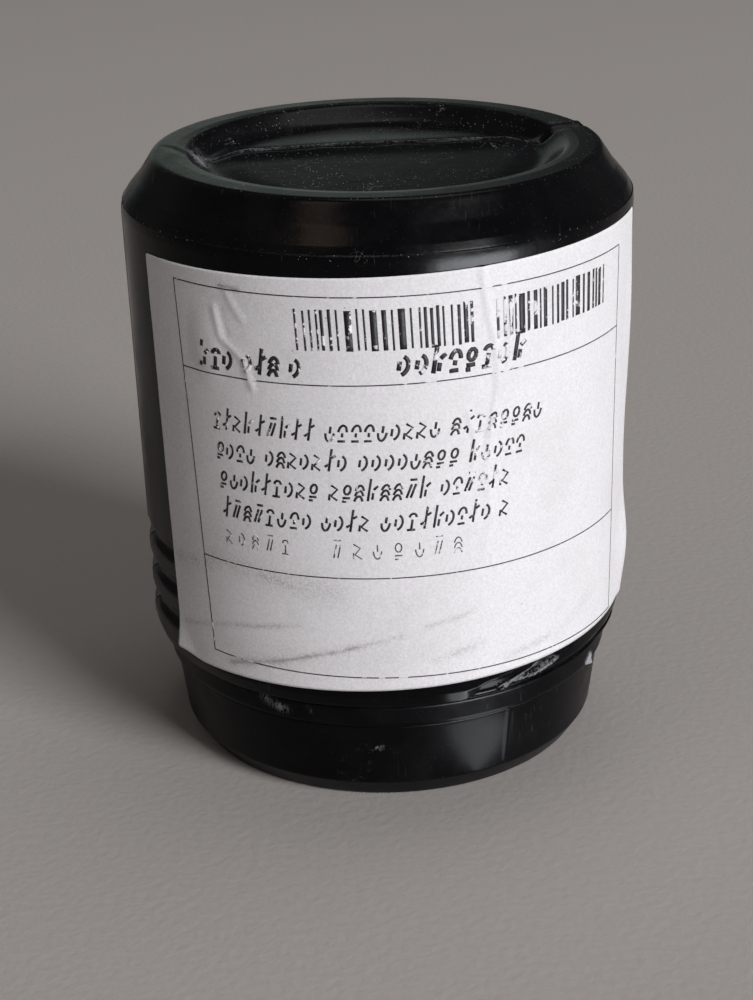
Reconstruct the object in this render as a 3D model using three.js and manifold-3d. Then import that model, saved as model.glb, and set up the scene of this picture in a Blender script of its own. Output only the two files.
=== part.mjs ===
// An adjustable 10x eyepiece with a 30 mm plug tube, packed in its two-piece screw canister.
// Millimetres, +Z up. The origin is the centre of the canister's foot, on the surface it stands on.
// The canister's base and cover join with an interrupted three-start thread. The eyepiece stands
// in a foam pad in the base, and a second pad fills the top of the cover.
import * as THREE from "three";
import { mergeVertices } from "three/addons/utils/BufferGeometryUtils.js";
import Module from "manifold-3d";

const wasm = await Module();
wasm.setup();

// ---- Driving dimensions -------------------------------------------------------------------------

const CANISTER = { radius: 30, height: 73, wall: 1.5, recess: 2.2, facets: 40 };
const SHOULDER_Z = CANISTER.height - 5; // where the cover's bevel meets its side
const SIDE_TAPER = 0.014; // how much the cover's side narrows for each millimetre down
const RIM_Z = 13.9; // the cover's lower edge when it is screwed home
const NECK = { radius: 26.4, top: 35 }; // the part of the base that the cover screws over
const BAND = { radius: 27.6, low: 10.6, high: 13.6 }; // the raised band that the cover closes down to

// Each thread ridge follows one of three starts and spans one of two opposite sectors.
const THREAD = { pitch: 4.4, starts: 3, span: 92, sectorA: 166, sectorB: -14, depth: 1.0, low: 17.5 };
const LEAD = THREAD.pitch * THREAD.starts;

const LABEL = { width: 70, height: 49, middleZ: 41.3, middleAngle: -81.1, tilt: 1.7, thickness: 0.2, gap: 0.1 };

const EYEPIECE_Z = 6.1; // the plug tube's end stands this far above the canister's foot
const PLUG = { radius: 15, length: 24 };
const FACETS = 30; // round eyepiece pieces
const LENS_FACETS = 24;
const GAP = 0.1; // between faces that meet
const PIN = { radius: 0.9, height: 34.7, travel: 3.125, lead: 12.5, turn: 90 };

// ---- Shared shape makers ------------------------------------------------------------------------

// A solid of revolution about Z. The outline is a closed loop of [radius, height] points, or one that
// starts and ends on the axis.
function turned(outline, facets = FACETS) {
  const points = outline.map(([r, z]) => new THREE.Vector2(r, z));
  const onAxis = points[0].x === 0 && points.at(-1).x === 0;
  if (!onAxis) points.push(points[0].clone());
  if (THREE.ShapeUtils.area(points) < 0) points.reverse();
  return new THREE.LatheGeometry(points, facets).rotateX(Math.PI / 2);
}

// A plain ring between two radii and two heights.
const ring = (inner, outer, low, high, facets = FACETS) =>
  turned([[inner, low], [outer, low], [outer, high], [inner, high]], facets);

// Points along a spherical lens surface from one radius to another, with its centre at height z.
// A positive curvature bulges up.
function lensArc(curvature, z, from, to, steps = 3) {
  const sag = (r) => Math.sign(curvature) * (Math.abs(curvature) - Math.sqrt(curvature ** 2 - r ** 2));
  return Array.from({ length: steps + 1 }, (_, i) => {
    const r = from + ((to - from) * i) / steps;
    return [r, z - sag(r)];
  });
}

// A lens with its lower and upper surface given as [curvature, centre height].
function lens(radius, [lowerCurve, lowerZ], [upperCurve, upperZ]) {
  const lower = lensArc(lowerCurve, lowerZ, 0, radius);
  const upper = lensArc(upperCurve, upperZ, radius, 0);
  return turned([...lower, ...upper], LENS_FACETS);
}

// Bends a straight bar round the Z axis: x is the radius, y the height and z the angle in radians.
// The bar's angle runs backwards so that its faces still point out.
function bent(bar, lead = 0, radiusAt = () => 0) {
  const place = bar.getAttribute("position");
  for (let i = 0; i < place.count; i++) {
    const height = place.getY(i);
    const angle = -place.getZ(i);
    const radius = place.getX(i) + radiusAt(height);
    const z = height + (lead * angle) / (2 * Math.PI);
    place.setXYZ(i, radius * Math.cos(angle), radius * Math.sin(angle), z);
  }
  return bar;
}

// A thread ridge or a cam slot: a section of [radius, height] points swept between two angles in degrees.
function swept(section, fromAngle, toAngle, lead, steps) {
  const shape = new THREE.Shape(section.map(([r, z]) => new THREE.Vector2(r, z)));
  const span = THREE.MathUtils.degToRad(toAngle - fromAngle);
  const bar = new THREE.ExtrudeGeometry(shape, { depth: span, steps, bevelEnabled: false });
  bar.translate(0, 0, -THREE.MathUtils.degToRad(toAngle));
  return bent(bar, lead);
}

function solid(geometry) {
  const bare = new THREE.BufferGeometry();
  bare.setAttribute("position", geometry.getAttribute("position"));
  bare.setIndex(geometry.index);
  const merged = mergeVertices(bare, 1e-4);
  const vertProperties = new Float32Array(merged.getAttribute("position").array);
  const triVerts = new Uint32Array(merged.index.array);
  return new wasm.Manifold(new wasm.Mesh({ numProp: 3, vertProperties, triVerts }));
}

function geometryOf(shape) {
  const mesh = shape.getMesh();
  const positions = new Float32Array(mesh.numVert * 3);
  for (let i = 0; i < mesh.numVert; i++) {
    positions.set(mesh.vertProperties.subarray(i * mesh.numProp, i * mesh.numProp + 3), i * 3);
  }
  const geometry = new THREE.BufferGeometry();
  geometry.setAttribute("position", new THREE.BufferAttribute(positions, 3));
  geometry.setIndex(new THREE.BufferAttribute(new Uint32Array(mesh.triVerts), 1));
  geometry.computeVertexNormals();
  return geometry;
}

const joined = (body, additions) =>
  geometryOf(additions.reduce((whole, piece) => whole.add(solid(piece)), solid(body)));
const cut = (body, cutters) =>
  geometryOf(cutters.reduce((whole, piece) => whole.subtract(solid(piece)), solid(body)));

// A cylinder lying along a radius, from one distance off the axis to another.
function radialRod(radius, from, to, height, angle, sides = 12) {
  const rod = new THREE.CylinderGeometry(radius, radius, to - from, sides);
  rod.rotateZ(-Math.PI / 2).translate((from + to) / 2, 0, 0);
  return rod.rotateZ(THREE.MathUtils.degToRad(angle)).translate(0, 0, height);
}

// Two opposite notches that a pin spanner turns a threaded ring with.
function spannerNotches(inner, outer, low, high) {
  const width = 1.6;
  return [0, Math.PI].map((angle) =>
    new THREE.BoxGeometry(outer - inner, width, high - low)
      .translate((inner + outer) / 2, 0, (low + high) / 2)
      .rotateZ(angle),
  );
}

// ---- Materials ----------------------------------------------------------------------------------

const paint = (color, roughness, metalness = 0, more = {}) =>
  new THREE.MeshStandardMaterial({ color, roughness, metalness, ...more });
const BLACK_PLASTIC = paint(0x0b0c0d, 0.35);
const PAPER = paint(0xe6e2e2, 0.85);
const FOAM = paint(0x2a2b2e, 0.95);
const BLACK_ANODISED = paint(0x121315, 0.4, 0.6);
const SATIN_CHROME = paint(0xb9bbbd, 0.25, 1);
const BLACKED_BRASS = paint(0x17171a, 0.6, 0.5);
const STEEL = paint(0x8b8d90, 0.3, 1);
const NYLON = paint(0xd8d6cc, 0.6);
const RUBBER = paint(0x151517, 0.8);
const GLASS = paint(0xe8f0f2, 0.03, 0, { transparent: true, opacity: 0.35 });

const piece = (name, geometry, material) => {
  const mesh = new THREE.Mesh(geometry, material);
  mesh.name = name;
  return mesh;
};

// ---- The canister -------------------------------------------------------------------------------

const coverRadiusAt = (z) => CANISTER.radius - SIDE_TAPER * (SHOULDER_Z - z);

// The heights, at a sector's middle, of the ridges of one member. Ridges a pitch apart belong to the
// three starts, and the opposite sector's are half a lead on. The other member's lie half a pitch off.
const ridgeHeights = (first) => [0, 1, 2].map((turn) => first + turn * THREAD.pitch);
const COVER_RIDGES = [
  { middle: THREAD.sectorA, heights: ridgeHeights(THREAD.low) },
  { middle: THREAD.sectorB, heights: ridgeHeights(THREAD.low - THREAD.pitch / 2) },
];
const BASE_RIDGES = [
  { middle: THREAD.sectorA, heights: ridgeHeights(THREAD.low - THREAD.pitch / 2) },
  { middle: THREAD.sectorB, heights: ridgeHeights(THREAD.low) },
];

// Sweeps one section at each ridge of a member. The section's heights are measured from the ridge's middle.
function ridges(places, section) {
  return places.flatMap(({ middle, heights }) =>
    heights.map((height) => {
      const base = height - (LEAD * middle) / 360;
      const placed = section.map(([r, z]) => [r, z + base]);
      return swept(placed, middle - THREAD.span / 2, middle + THREAD.span / 2, LEAD, 8);
    }),
  );
}

function canisterCover() {
  const top = CANISTER.height;
  const wall = CANISTER.wall;
  const floor = top - CANISTER.recess;
  const inside = 27.8;
  const side = coverRadiusAt(RIM_Z);
  const outer = [
    [0, floor],
    [20.9, floor],
    [22.4, top],
    [26, top],
    [29.6, SHOULDER_Z],
    [coverRadiusAt(SHOULDER_Z - 1.4), SHOULDER_Z - 1.4],
    [side, RIM_Z + 1.4],
    [side - 0.5, RIM_Z + 0.3],
    [side - 1.0, RIM_Z],
  ];
  const inner = [
    [inside, RIM_Z],
    [inside + 0.2, SHOULDER_Z - 2],
    [24.9, top - wall - 0.2],
    [23.4, top - wall - 0.2],
    [21.6, floor - wall],
    [0, floor - wall],
  ];
  const shell = solid(turned([...outer, ...inner], CANISTER.facets));
  // Each ridge stands into the bore and leaves a groove of the same form outside.
  const ridge = ridges(COVER_RIDGES, [[inside + 0.4, -1.2], [26.9, -0.5], [26.9, 0.5], [inside + 0.4, 1.2]]);
  const grooveRoot = side - THREAD.depth;
  const groove = ridges(COVER_RIDGES, [[grooveRoot, -0.5], [31, -1.6], [31, 1.6], [grooveRoot, 0.5]]);
  const aboveRim = (bar) => solid(bar).trimByPlane([0, 0, 1], RIM_Z + 0.3);
  const threaded = ridge.reduce((whole, bar) => whole.add(aboveRim(bar)), shell);
  return geometryOf(groove.reduce((whole, bar) => whole.subtract(solid(bar)), threaded));
}

function canisterBase() {
  const wall = CANISTER.wall;
  const outer = [
    [0, 1.4],
    [20.5, 1.4],
    [21.8, 0],
    [24.6, 0],
    [25.95, 2.55],
    [27, BAND.low],
    [BAND.radius, BAND.low + 0.2],
    [BAND.radius, BAND.high - 0.3],
    [NECK.radius + 0.4, BAND.high],
    [NECK.radius, BAND.high + 0.1],
    [NECK.radius, NECK.top - 0.5],
    [NECK.radius - 0.5, NECK.top],
  ];
  const inner = [
    [NECK.radius - wall + 0.4, NECK.top],
    [NECK.radius - wall, NECK.top - 0.5],
    [NECK.radius - wall, BAND.high + 1],
    [25.4, BAND.low],
    [24.8, 3.6],
    [23.6, 1.5],
    [22.6, 1.5],
    [21.4, 2.9],
    [0, 2.9],
  ];
  const shell = turned([...outer, ...inner], CANISTER.facets);
  const ridge = ridges(BASE_RIDGES, [[26, -0.9], [27.4, -0.45], [27.4, 0.45], [26, 0.9]]);
  const pip = radialRod(0.8, 27, 28, BAND.low + 1.2, -24, 10); // lines up with the cover when it is home
  return joined(shell, [...ridge, pip]);
}

function coverLabel() {
  const { width, height, thickness, gap, middleZ, middleAngle, tilt } = LABEL;
  const sheet = new THREE.BoxGeometry(thickness, height, width, 1, 3, 20);
  sheet.rotateX(THREE.MathUtils.degToRad(tilt));
  sheet.scale(1, 1, 1 / CANISTER.radius); // arc length becomes an angle
  sheet.translate(thickness / 2 + gap, middleZ, -THREE.MathUtils.degToRad(middleAngle));
  return bent(sheet, 0, coverRadiusAt);
}

const LOWER_PAD = { low: 3.1, seat: EYEPIECE_Z - GAP, high: 8.6, radius: 24 };
const lowerPad = () =>
  turned([
    [0, LOWER_PAD.low],
    [LOWER_PAD.radius - 1, LOWER_PAD.low],
    [LOWER_PAD.radius, LOWER_PAD.low + 1.4],
    [LOWER_PAD.radius, LOWER_PAD.high],
    [PLUG.radius + 0.4, LOWER_PAD.high],
    [PLUG.radius + 0.4, LOWER_PAD.seat],
    [0, LOWER_PAD.seat],
  ]);
const upperPad = () =>
  turned([[0, 63.3], [27, 63.3], [27, 65.6], [24.6, 69.1], [0, 69.1]]);

// ---- The eyepiece, with heights measured from the end of its plug tube --------------------------

function plugTube() {
  const { radius, length } = PLUG;
  return turned([
    [13.6, 0],
    [radius - 0.6, 0],
    [radius, 0.6],
    [radius, length],
    [14.2, length],
    [14.2, length + 3.6],
    [12.2, length + 3.6],
    [12.2, 13.5],
    [13.2, 13.5],
    [13.2, 0.4],
  ]);
}

// The diaphragm at the focal plane: a 21 mm knife-edged hole.
const fieldStop = () =>
  turned([[12.9, 11.7], [12.9, 13.4], [11.6, 13.4], [10.5, 12.4], [10.5, 12.2], [11.6, 11.7]]);
const fieldStopLockRing = () =>
  cut(ring(11.3, 12.9, 9.4, 11.6), spannerNotches(11, 13.2, 9.2, 10.4));

function eyepieceBody() {
  const bore = 15.4;
  const tube = 17.2;
  const shell = turned([
    [14.4, 24.1],
    [20, 24.1],
    [20.5, 24.6],
    [20.5, 26.7],
    [20.1, 27.1],
    [tube, 27.1],
    [tube, 41],
    [16.4, 41],
    [16.4, 43.5],
    [bore, 43.5],
    [bore, 27.9],
    [14.4, 27.9],
  ]);
  // A straight slot on each side keeps the lens cell from turning and lets its pins through.
  const reach = PIN.travel + PIN.radius + 0.3;
  const slot = new THREE.BoxGeometry(2 * tube + 4, 2 * PIN.radius + 0.4, 2 * reach).translate(0, 0, PIN.height);
  return cut(shell, [slot]);
}

const frictionWasher = () => ring(17.5, 20, 27.2, 27.7);

// The cam sleeve turns on the body. Two helical grooves inside it lift the lens cell by its pins.
function driveSleeve() {
  const half = PIN.radius + 0.2;
  const base = PIN.height;
  const section = [[17, base - half], [18.8, base - half], [18.8, base + half], [17, base + half]];
  const reach = PIN.turn + 6;
  const grooves = [0, 180].map((angle) => {
    const groove = swept(section, -reach, reach, -PIN.lead, 16);
    return groove.rotateZ(THREE.MathUtils.degToRad(angle));
  });
  const dimples = SET_SCREW_ANGLES.map((angle) => radialRod(1.1, 18.7, 20, SET_SCREW_HEIGHT, angle));
  return cut(ring(17.4, 19.4, 27.8, 41.1), [...grooves, ...dimples]);
}

const sleeveRetainingRing = () =>
  cut(ring(16.6, 19.3, 41.2, 43.3), spannerNotches(18, 19.6, 42.2, 43.6));

const SET_SCREW_ANGLES = [60, 180, 300];
const SET_SCREW_HEIGHT = 29.3;
const setScrew = (angle) => radialRod(0.9, 18.9, 22.1, SET_SCREW_HEIGHT, angle);

// The knurled ring that the user turns, with a plain band below the flutes for the dioptre scale.
function dioptreRing() {
  const flutes = 30;
  const outline = new THREE.Shape();
  for (let i = 0; i < flutes; i++) {
    const at = (share, radius) => {
      const angle = ((i + share) / flutes) * 2 * Math.PI;
      return [radius * Math.cos(angle), radius * Math.sin(angle)];
    };
    if (i === 0) outline.moveTo(...at(0, 22.6));
    else outline.lineTo(...at(0, 22.6));
    outline.lineTo(...at(0.6, 22.6));
    outline.lineTo(...at(0.8, 22));
  }
  outline.closePath();
  const grip = new THREE.ExtrudeGeometry(outline, { depth: 8.6, bevelEnabled: false }).translate(0, 0, 32);
  const core = turned([[19.6, 27.8], [21.4, 27.8], [22, 28.4], [22, 41.2], [21.5, 41.7], [20.6, 41.7], [20.6, 39.2], [19.6, 39.2]]);
  const bore = turned([[0, 30], [19.6, 30], [19.6, 39.2], [20.6, 39.2], [20.6, 43], [0, 43]]);
  const whole = solid(core).add(solid(grip).subtract(solid(bore)));
  const holes = SET_SCREW_ANGLES.map((angle) => radialRod(1.1, 19, 23, SET_SCREW_HEIGHT, angle));
  return geometryOf(holes.reduce((rest, hole) => rest.subtract(solid(hole)), whole));
}

const eyecupCarrier = () =>
  turned([
    [19.7, 39.5],
    [20.4, 39.5],
    [20.4, 42],
    [21.6, 42],
    [21.6, 43.9],
    [19.4, 44.5],
    [19.4, 48.9],
    [20, 49.3],
    [20, 50.3],
    [19.4, 50.7],
    [16.3, 50.7],
    [16.3, 44.1],
    [19.7, 43.7],
  ]);

// The soft cup grips the carrier's lip and opens out towards the eye.
const eyecup = () =>
  turned([
    [19.6, 44.9],
    [21.5, 44.9],
    [22.5, 46.5],
    [22.2, 50.5],
    [22.5, 53.5],
    [23.5, 55.9],
    [23.1, 56.5],
    [22.4, 56.4],
    [21.2, 54.4],
    [20.5, 51.2],
    [20.3, 50.9],
    [20.3, 49],
    [19.6, 48.5],
  ]);

// The cell slides in the body and holds every lens. A ledge parts the eye doublet from the rest.
function lensCell() {
  const shell = turned([
    [13, 31.5],
    [14.8, 31.5],
    [15.2, 31.9],
    [15.2, 49],
    [14.6, 52.9],
    [14.1, 53.5],
    [12.2, 53.5],
    [11.5, 52.8],
    [11.5, 46.7],
    [10.7, 46.7],
    [10.7, 46.1],
    [13, 46.1],
  ]);
  return cut(shell, [0, 180].map((angle) => radialRod(1.0, 12.5, 16, PIN.height, angle)));
}

const guidePin = (angle) => radialRod(PIN.radius, 13.2, 18.6, PIN.height, angle);

// Heights of the optical surfaces, from the field side up to the eye side.
const FIELD_RADIUS = 12.8;
const EYE_RADIUS = 11.3;
const fieldLensRetainingRing = () =>
  cut(ring(11.6, 12.8, 31.6, 32.7, LENS_FACETS), spannerNotches(11.3, 13.2, 31.4, 32.1));
const fieldLensFlint = () => lens(FIELD_RADIUS, [80, 33.9], [-30, 35.1]);
const fieldLensCrown = () => lens(FIELD_RADIUS, [-30, 35.2], [36, 41.2]);
const lowerSpacer = () => ring(11.9, 12.8, 39.3, 42.8, LENS_FACETS);
const middleLens = () => lens(FIELD_RADIUS, [-50, 41.5], [50, 45.8]);
const upperSpacer = () => ring(11.9, 12.8, 44.5, 46, LENS_FACETS);
const eyeLensCrown = () => lens(EYE_RADIUS, [-90, 46.2], [26, 50.4]);
const eyeLensFlint = () => lens(EYE_RADIUS, [26, 50.5], [-120, 51.5]);
const eyeLensRetainingRing = () =>
  cut(ring(10.1, 11.3, 52.2, 53.2, LENS_FACETS), spannerNotches(9.8, 11.6, 52.8, 53.4));

// ---- Assembly -----------------------------------------------------------------------------------

const eyepiece = new THREE.Group();
eyepiece.position.z = EYEPIECE_Z;
eyepiece.add(
  piece("plug_tube", plugTube(), SATIN_CHROME),
  piece("field_stop", fieldStop(), BLACKED_BRASS),
  piece("field_stop_lock_ring", fieldStopLockRing(), BLACKED_BRASS),
  piece("eyepiece_body", eyepieceBody(), BLACK_ANODISED),
  piece("friction_washer", frictionWasher(), NYLON),
  piece("drive_sleeve", driveSleeve(), BLACKED_BRASS),
  piece("sleeve_retaining_ring", sleeveRetainingRing(), BLACKED_BRASS),
  piece("dioptre_ring", dioptreRing(), BLACK_ANODISED),
  piece("eyecup_carrier", eyecupCarrier(), BLACK_ANODISED),
  piece("eyecup", eyecup(), RUBBER),
  piece("lens_cell", lensCell(), BLACKED_BRASS),
  piece("field_lens_retaining_ring", fieldLensRetainingRing(), BLACKED_BRASS),
  piece("field_lens_flint", fieldLensFlint(), GLASS),
  piece("field_lens_crown", fieldLensCrown(), GLASS),
  piece("lower_spacer", lowerSpacer(), BLACKED_BRASS),
  piece("middle_lens", middleLens(), GLASS),
  piece("upper_spacer", upperSpacer(), BLACKED_BRASS),
  piece("eye_lens_crown", eyeLensCrown(), GLASS),
  piece("eye_lens_flint", eyeLensFlint(), GLASS),
  piece("eye_lens_retaining_ring", eyeLensRetainingRing(), BLACKED_BRASS),
);
SET_SCREW_ANGLES.forEach((angle, i) => eyepiece.add(piece(`set_screw_${i + 1}`, setScrew(angle), STEEL)));
[0, 180].forEach((angle, i) => eyepiece.add(piece(`guide_pin_${i + 1}`, guidePin(angle), STEEL)));

const assembly = new THREE.Group();
assembly.add(
  piece("canister_base", canisterBase(), BLACK_PLASTIC),
  piece("canister_cover", canisterCover(), BLACK_PLASTIC),
  piece("label", coverLabel(), PAPER),
  piece("lower_pad", lowerPad(), FOAM),
  piece("upper_pad", upperPad(), FOAM),
  eyepiece,
);

export default assembly;
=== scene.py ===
"""The fine surfaces and finishes of an adjustable eyepiece packed in its two-part screw canister.

Outlines and sizes are in millimetres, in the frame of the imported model, and each mesh is turned into
metres as it is made. An angle is measured round +Z from +X, so the front is at -90 degrees.
"""

import math
import random

import bpy
import numpy as np
from mathutils import Matrix, Vector


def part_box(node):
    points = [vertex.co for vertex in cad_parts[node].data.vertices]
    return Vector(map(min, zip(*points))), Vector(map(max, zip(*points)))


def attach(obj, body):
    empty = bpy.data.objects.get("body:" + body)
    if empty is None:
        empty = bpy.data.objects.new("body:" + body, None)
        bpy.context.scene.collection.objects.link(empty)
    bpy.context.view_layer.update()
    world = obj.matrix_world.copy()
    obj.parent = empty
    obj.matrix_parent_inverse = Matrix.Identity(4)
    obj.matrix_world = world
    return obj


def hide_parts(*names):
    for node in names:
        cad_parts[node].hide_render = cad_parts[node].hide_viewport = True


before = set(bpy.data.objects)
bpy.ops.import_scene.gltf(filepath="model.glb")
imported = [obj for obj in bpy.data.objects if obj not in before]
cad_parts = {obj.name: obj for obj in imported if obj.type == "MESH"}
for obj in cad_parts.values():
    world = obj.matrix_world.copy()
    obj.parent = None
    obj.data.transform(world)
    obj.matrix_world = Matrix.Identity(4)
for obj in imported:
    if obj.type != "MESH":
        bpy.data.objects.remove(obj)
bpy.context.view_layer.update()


MM = 0.001

# ---- Driving dimensions -------------------------------------------------------------------------


def height_span(node):
    """The heights of a CAD node's lowest and highest points."""
    return [corner[2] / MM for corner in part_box(node)]


COVER_RIM, COVER_TOP = height_span("canister_cover")
COVER_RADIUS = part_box("canister_cover")[1][0] / MM
EYEPIECE_Z = height_span("plug_tube")[0]  # the end of the plug tube
SHOULDER_Z = COVER_TOP - 5
SIDE_TAPER = 0.014
RECESS_DEPTH = 2.2

THREAD = {"lead": 13.2, "groove": 1.0, "ridge": 1.0}
COVER_SPAN = 50  # half the angle that each stack of grooves goes round
BASE_SPAN = 46
THREAD_TOP = 31.0
COVER_THREAD = ((166, (17.5, 21.9, 26.3)), (-14, (15.3, 19.7, 24.1)))
BASE_THREAD = ((166, (15.3, 19.7, 24.1)), (-14, (17.5, 21.9, 26.3)))

MOULD_LINES = {"cover": 9, "base": -58.5}  # each has a second line opposite

LABEL = {
    "width": 70.0, "height": 49.0, "thickness": 0.12,
    "middle_z": 41.3, "middle_angle": -81.1, "tilt": 0.030,
}

# ---- Mesh helpers -------------------------------------------------------------------------------


def smooth(value):
    """0 below 0, 1 above 1, with a soft ramp between."""
    t = np.clip(value, 0.0, 1.0)
    return t * t * (3 - 2 * t)


def wrapped(degrees):
    """Degrees brought between -180 and 180."""
    return (degrees + 180.0) % 360.0 - 180.0


def degrees_past(angle, middle):
    """Degrees from the middle round to an angle in radians, between -180 and 180."""
    return wrapped(np.degrees(angle) - middle)


def window(value, start, rise, end, fall):
    """1 between start and end and 0 outside them, with soft ramps of those lengths just inside."""
    return smooth((value - start) / rise) * smooth((end - value) / fall)


def all_round(*close):
    """Angles a degree apart all round, and a quarter of a degree apart over the close stretches."""
    stretches = [np.arange(0, 360, 1.0)] + [np.arange(start, end, 0.25) for start, end in close]
    return np.radians(np.unique(np.round(np.concatenate(stretches), 3)))


def sheet_faces(columns, rows, first=0):
    """Faces of a thin closed sheet: a grid of vertices for its front, followed by one for its back."""
    half = columns * rows
    at = np.arange(first, first + half).reshape(columns, rows)
    faces = []
    for i in range(columns - 1):
        for j in range(rows - 1):
            quad = [int(k) for k in (at[i, j], at[i + 1, j], at[i + 1, j + 1], at[i, j + 1])]
            faces.append(tuple(quad))
            faces.append(tuple(k + half for k in reversed(quad)))
    ring = [int(k) for k in (*at[:, 0], *at[-1, 1:], *at[-2::-1, -1], *at[0, -2:0:-1])]
    for a, b in zip(ring, ring[1:] + ring[:1]):
        faces.append((b, a, a + half, b + half))
    return faces


def mesh_object(name, vertices, faces, coat, body, *replaced, marks=None):
    """A smooth-shaded mesh from millimetre vertices that rides on a body and stands for CAD nodes.

    coat is its material and a slot name, which is not used. marks gives, for each kind of mark, how much
    of it there is at every vertex. Its material reads them.
    """
    material, slot = coat
    mesh = bpy.data.meshes.new(name)
    mesh.from_pydata(np.asarray(vertices, dtype=float) * MM, [], faces)
    mesh.validate()
    for kind, amounts in (marks or {}).items():
        layer = mesh.attributes.new(kind, "FLOAT", "POINT")
        layer.data.foreach_set("value", np.clip(amounts, 0, 2).astype(np.float32))
    mesh.shade_smooth()
    mesh.materials.append(material)
    made = bpy.data.objects.new(name, mesh)
    bpy.context.scene.collection.objects.link(made)
    if replaced:
        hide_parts(*replaced)
    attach(made, body)
    return made


def rounded(outline, steps):
    """A (radius, height[, corner radius]) outline with arcs at the corners that have a radius."""
    points = [tuple(p) + (0.0,) * (3 - len(p)) for p in outline]
    line = []
    for i, (r, z, bend) in enumerate(points):
        here = np.array((r, z))
        if bend == 0:
            line.append(here)
            continue
        before = np.array(points[i - 1][:2]) - here
        after = np.array(points[(i + 1) % len(points)][:2]) - here
        room = 0.49 * min(np.linalg.norm(before), np.linalg.norm(after))
        before /= np.linalg.norm(before)
        after /= np.linalg.norm(after)
        half = math.acos(float(np.clip(before @ after, -1, 1))) / 2
        reach = min(bend / math.tan(half), room)
        middle = (before + after) / np.linalg.norm(before + after)
        centre = here + middle * reach / math.cos(half)
        start = here + before * reach - centre
        end = here + after * reach - centre
        first = math.atan2(start[1], start[0])
        sweep = math.radians(wrapped(math.degrees(math.atan2(end[1], end[0]) - first)))
        radius = np.linalg.norm(start)
        pieces = steps if bend > 0.2 else 2
        for k in range(pieces + 1):
            angle = first + sweep * k / pieces
            line.append(centre + radius * np.array((math.cos(angle), math.sin(angle))))
    return line


def divided(line, spacing, closed):
    """The line with points added so that none is further apart than spacing(radius, height)."""
    out = []
    count = len(line) if closed else len(line) - 1
    for i in range(count):
        a, b = line[i], line[(i + 1) % len(line)]
        pieces = max(1, math.ceil(np.linalg.norm(b - a) / spacing(*((a + b) / 2))))
        out.extend(a + (b - a) * k / pieces for k in range(pieces))
    if not closed:
        out.append(line[-1])
    return out


def lathe(outline, segments=160, spacing=None, shape=None, angles=None, steps=5):
    """Vertices and faces of a closed solid of revolution. shape(r, z, angle) may move its points."""
    closed = outline[0][0] > 0
    line = rounded(outline, steps)
    if spacing:
        line = divided(line, spacing, closed)
    line = np.array(line)
    around = np.roll(line, -1, axis=0)
    if (line[:, 0] * around[:, 1] - around[:, 0] * line[:, 1]).sum() < 0:
        line = line[::-1]
    if angles is None:
        angles = np.linspace(0, 2 * math.pi, segments, endpoint=False)
    radius = np.repeat(line[:, :1], len(angles), axis=1)
    height = np.repeat(line[:, 1:], len(angles), axis=1)
    angle = np.repeat(angles[None, :], len(line), axis=0)
    if shape:
        radius, height = shape(radius, height, angle)
    grid = np.stack((radius * np.cos(angle), radius * np.sin(angle), height), axis=2)
    vertices, rows = [], []
    for row, r in zip(grid, line[:, 0]):
        first = len(vertices)
        if r == 0:
            vertices.append(row.mean(axis=0))
            rows.append([first] * len(angles))
        else:
            vertices.extend(row)
            rows.append(list(range(first, first + len(angles))))
    faces = []
    pairs = zip(rows, rows[1:] + rows[:1]) if closed else zip(rows, rows[1:])
    for low, high in pairs:
        for j in range(len(angles)):
            k = (j + 1) % len(angles)
            corners = (low[j], low[k], high[k], high[j])
            faces.append(tuple(dict.fromkeys(corners)))
    return vertices, faces


def turned(name, outline, coat, body, *replaced, lift=0.0, **options):
    """A round piece. lift raises an outline given from the end of the plug tube."""
    raised = [(p[0], p[1] + lift, *p[2:]) for p in outline]
    vertices, faces = lathe(raised, **options)
    return mesh_object(name, vertices, faces, coat, body, *replaced)


def line_offset(x, y, start, end):
    """Distance to the left of a line and the share of the way along it, for arrays of points."""
    dx, dy = end[0] - start[0], end[1] - start[1]
    length = math.hypot(dx, dy)
    along = ((x - start[0]) * dx + (y - start[1]) * dy) / length**2
    off = (dx * (y - start[1]) - dy * (x - start[0])) / length
    return off, along


def bell(x, width):
    """1 where x is 0, fading to 0 on both sides."""
    return np.exp(-((x / width) ** 2))


def near_line(x, y, points, width):
    """1 on a line through the points, fading to 0 a few widths away from it."""
    nearest = np.full_like(x, 1e9)
    for start, end in zip(points, points[1:]):
        dx, dy = end[0] - start[0], end[1] - start[1]
        share = np.clip(((x - start[0]) * dx + (y - start[1]) * dy) / (dx * dx + dy * dy), 0, 1)
        nearest = np.minimum(nearest, np.hypot(x - start[0] - share * dx, y - start[1] - share * dy))
    return bell(nearest, width)


# ---- Materials ----------------------------------------------------------------------------------


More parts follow.
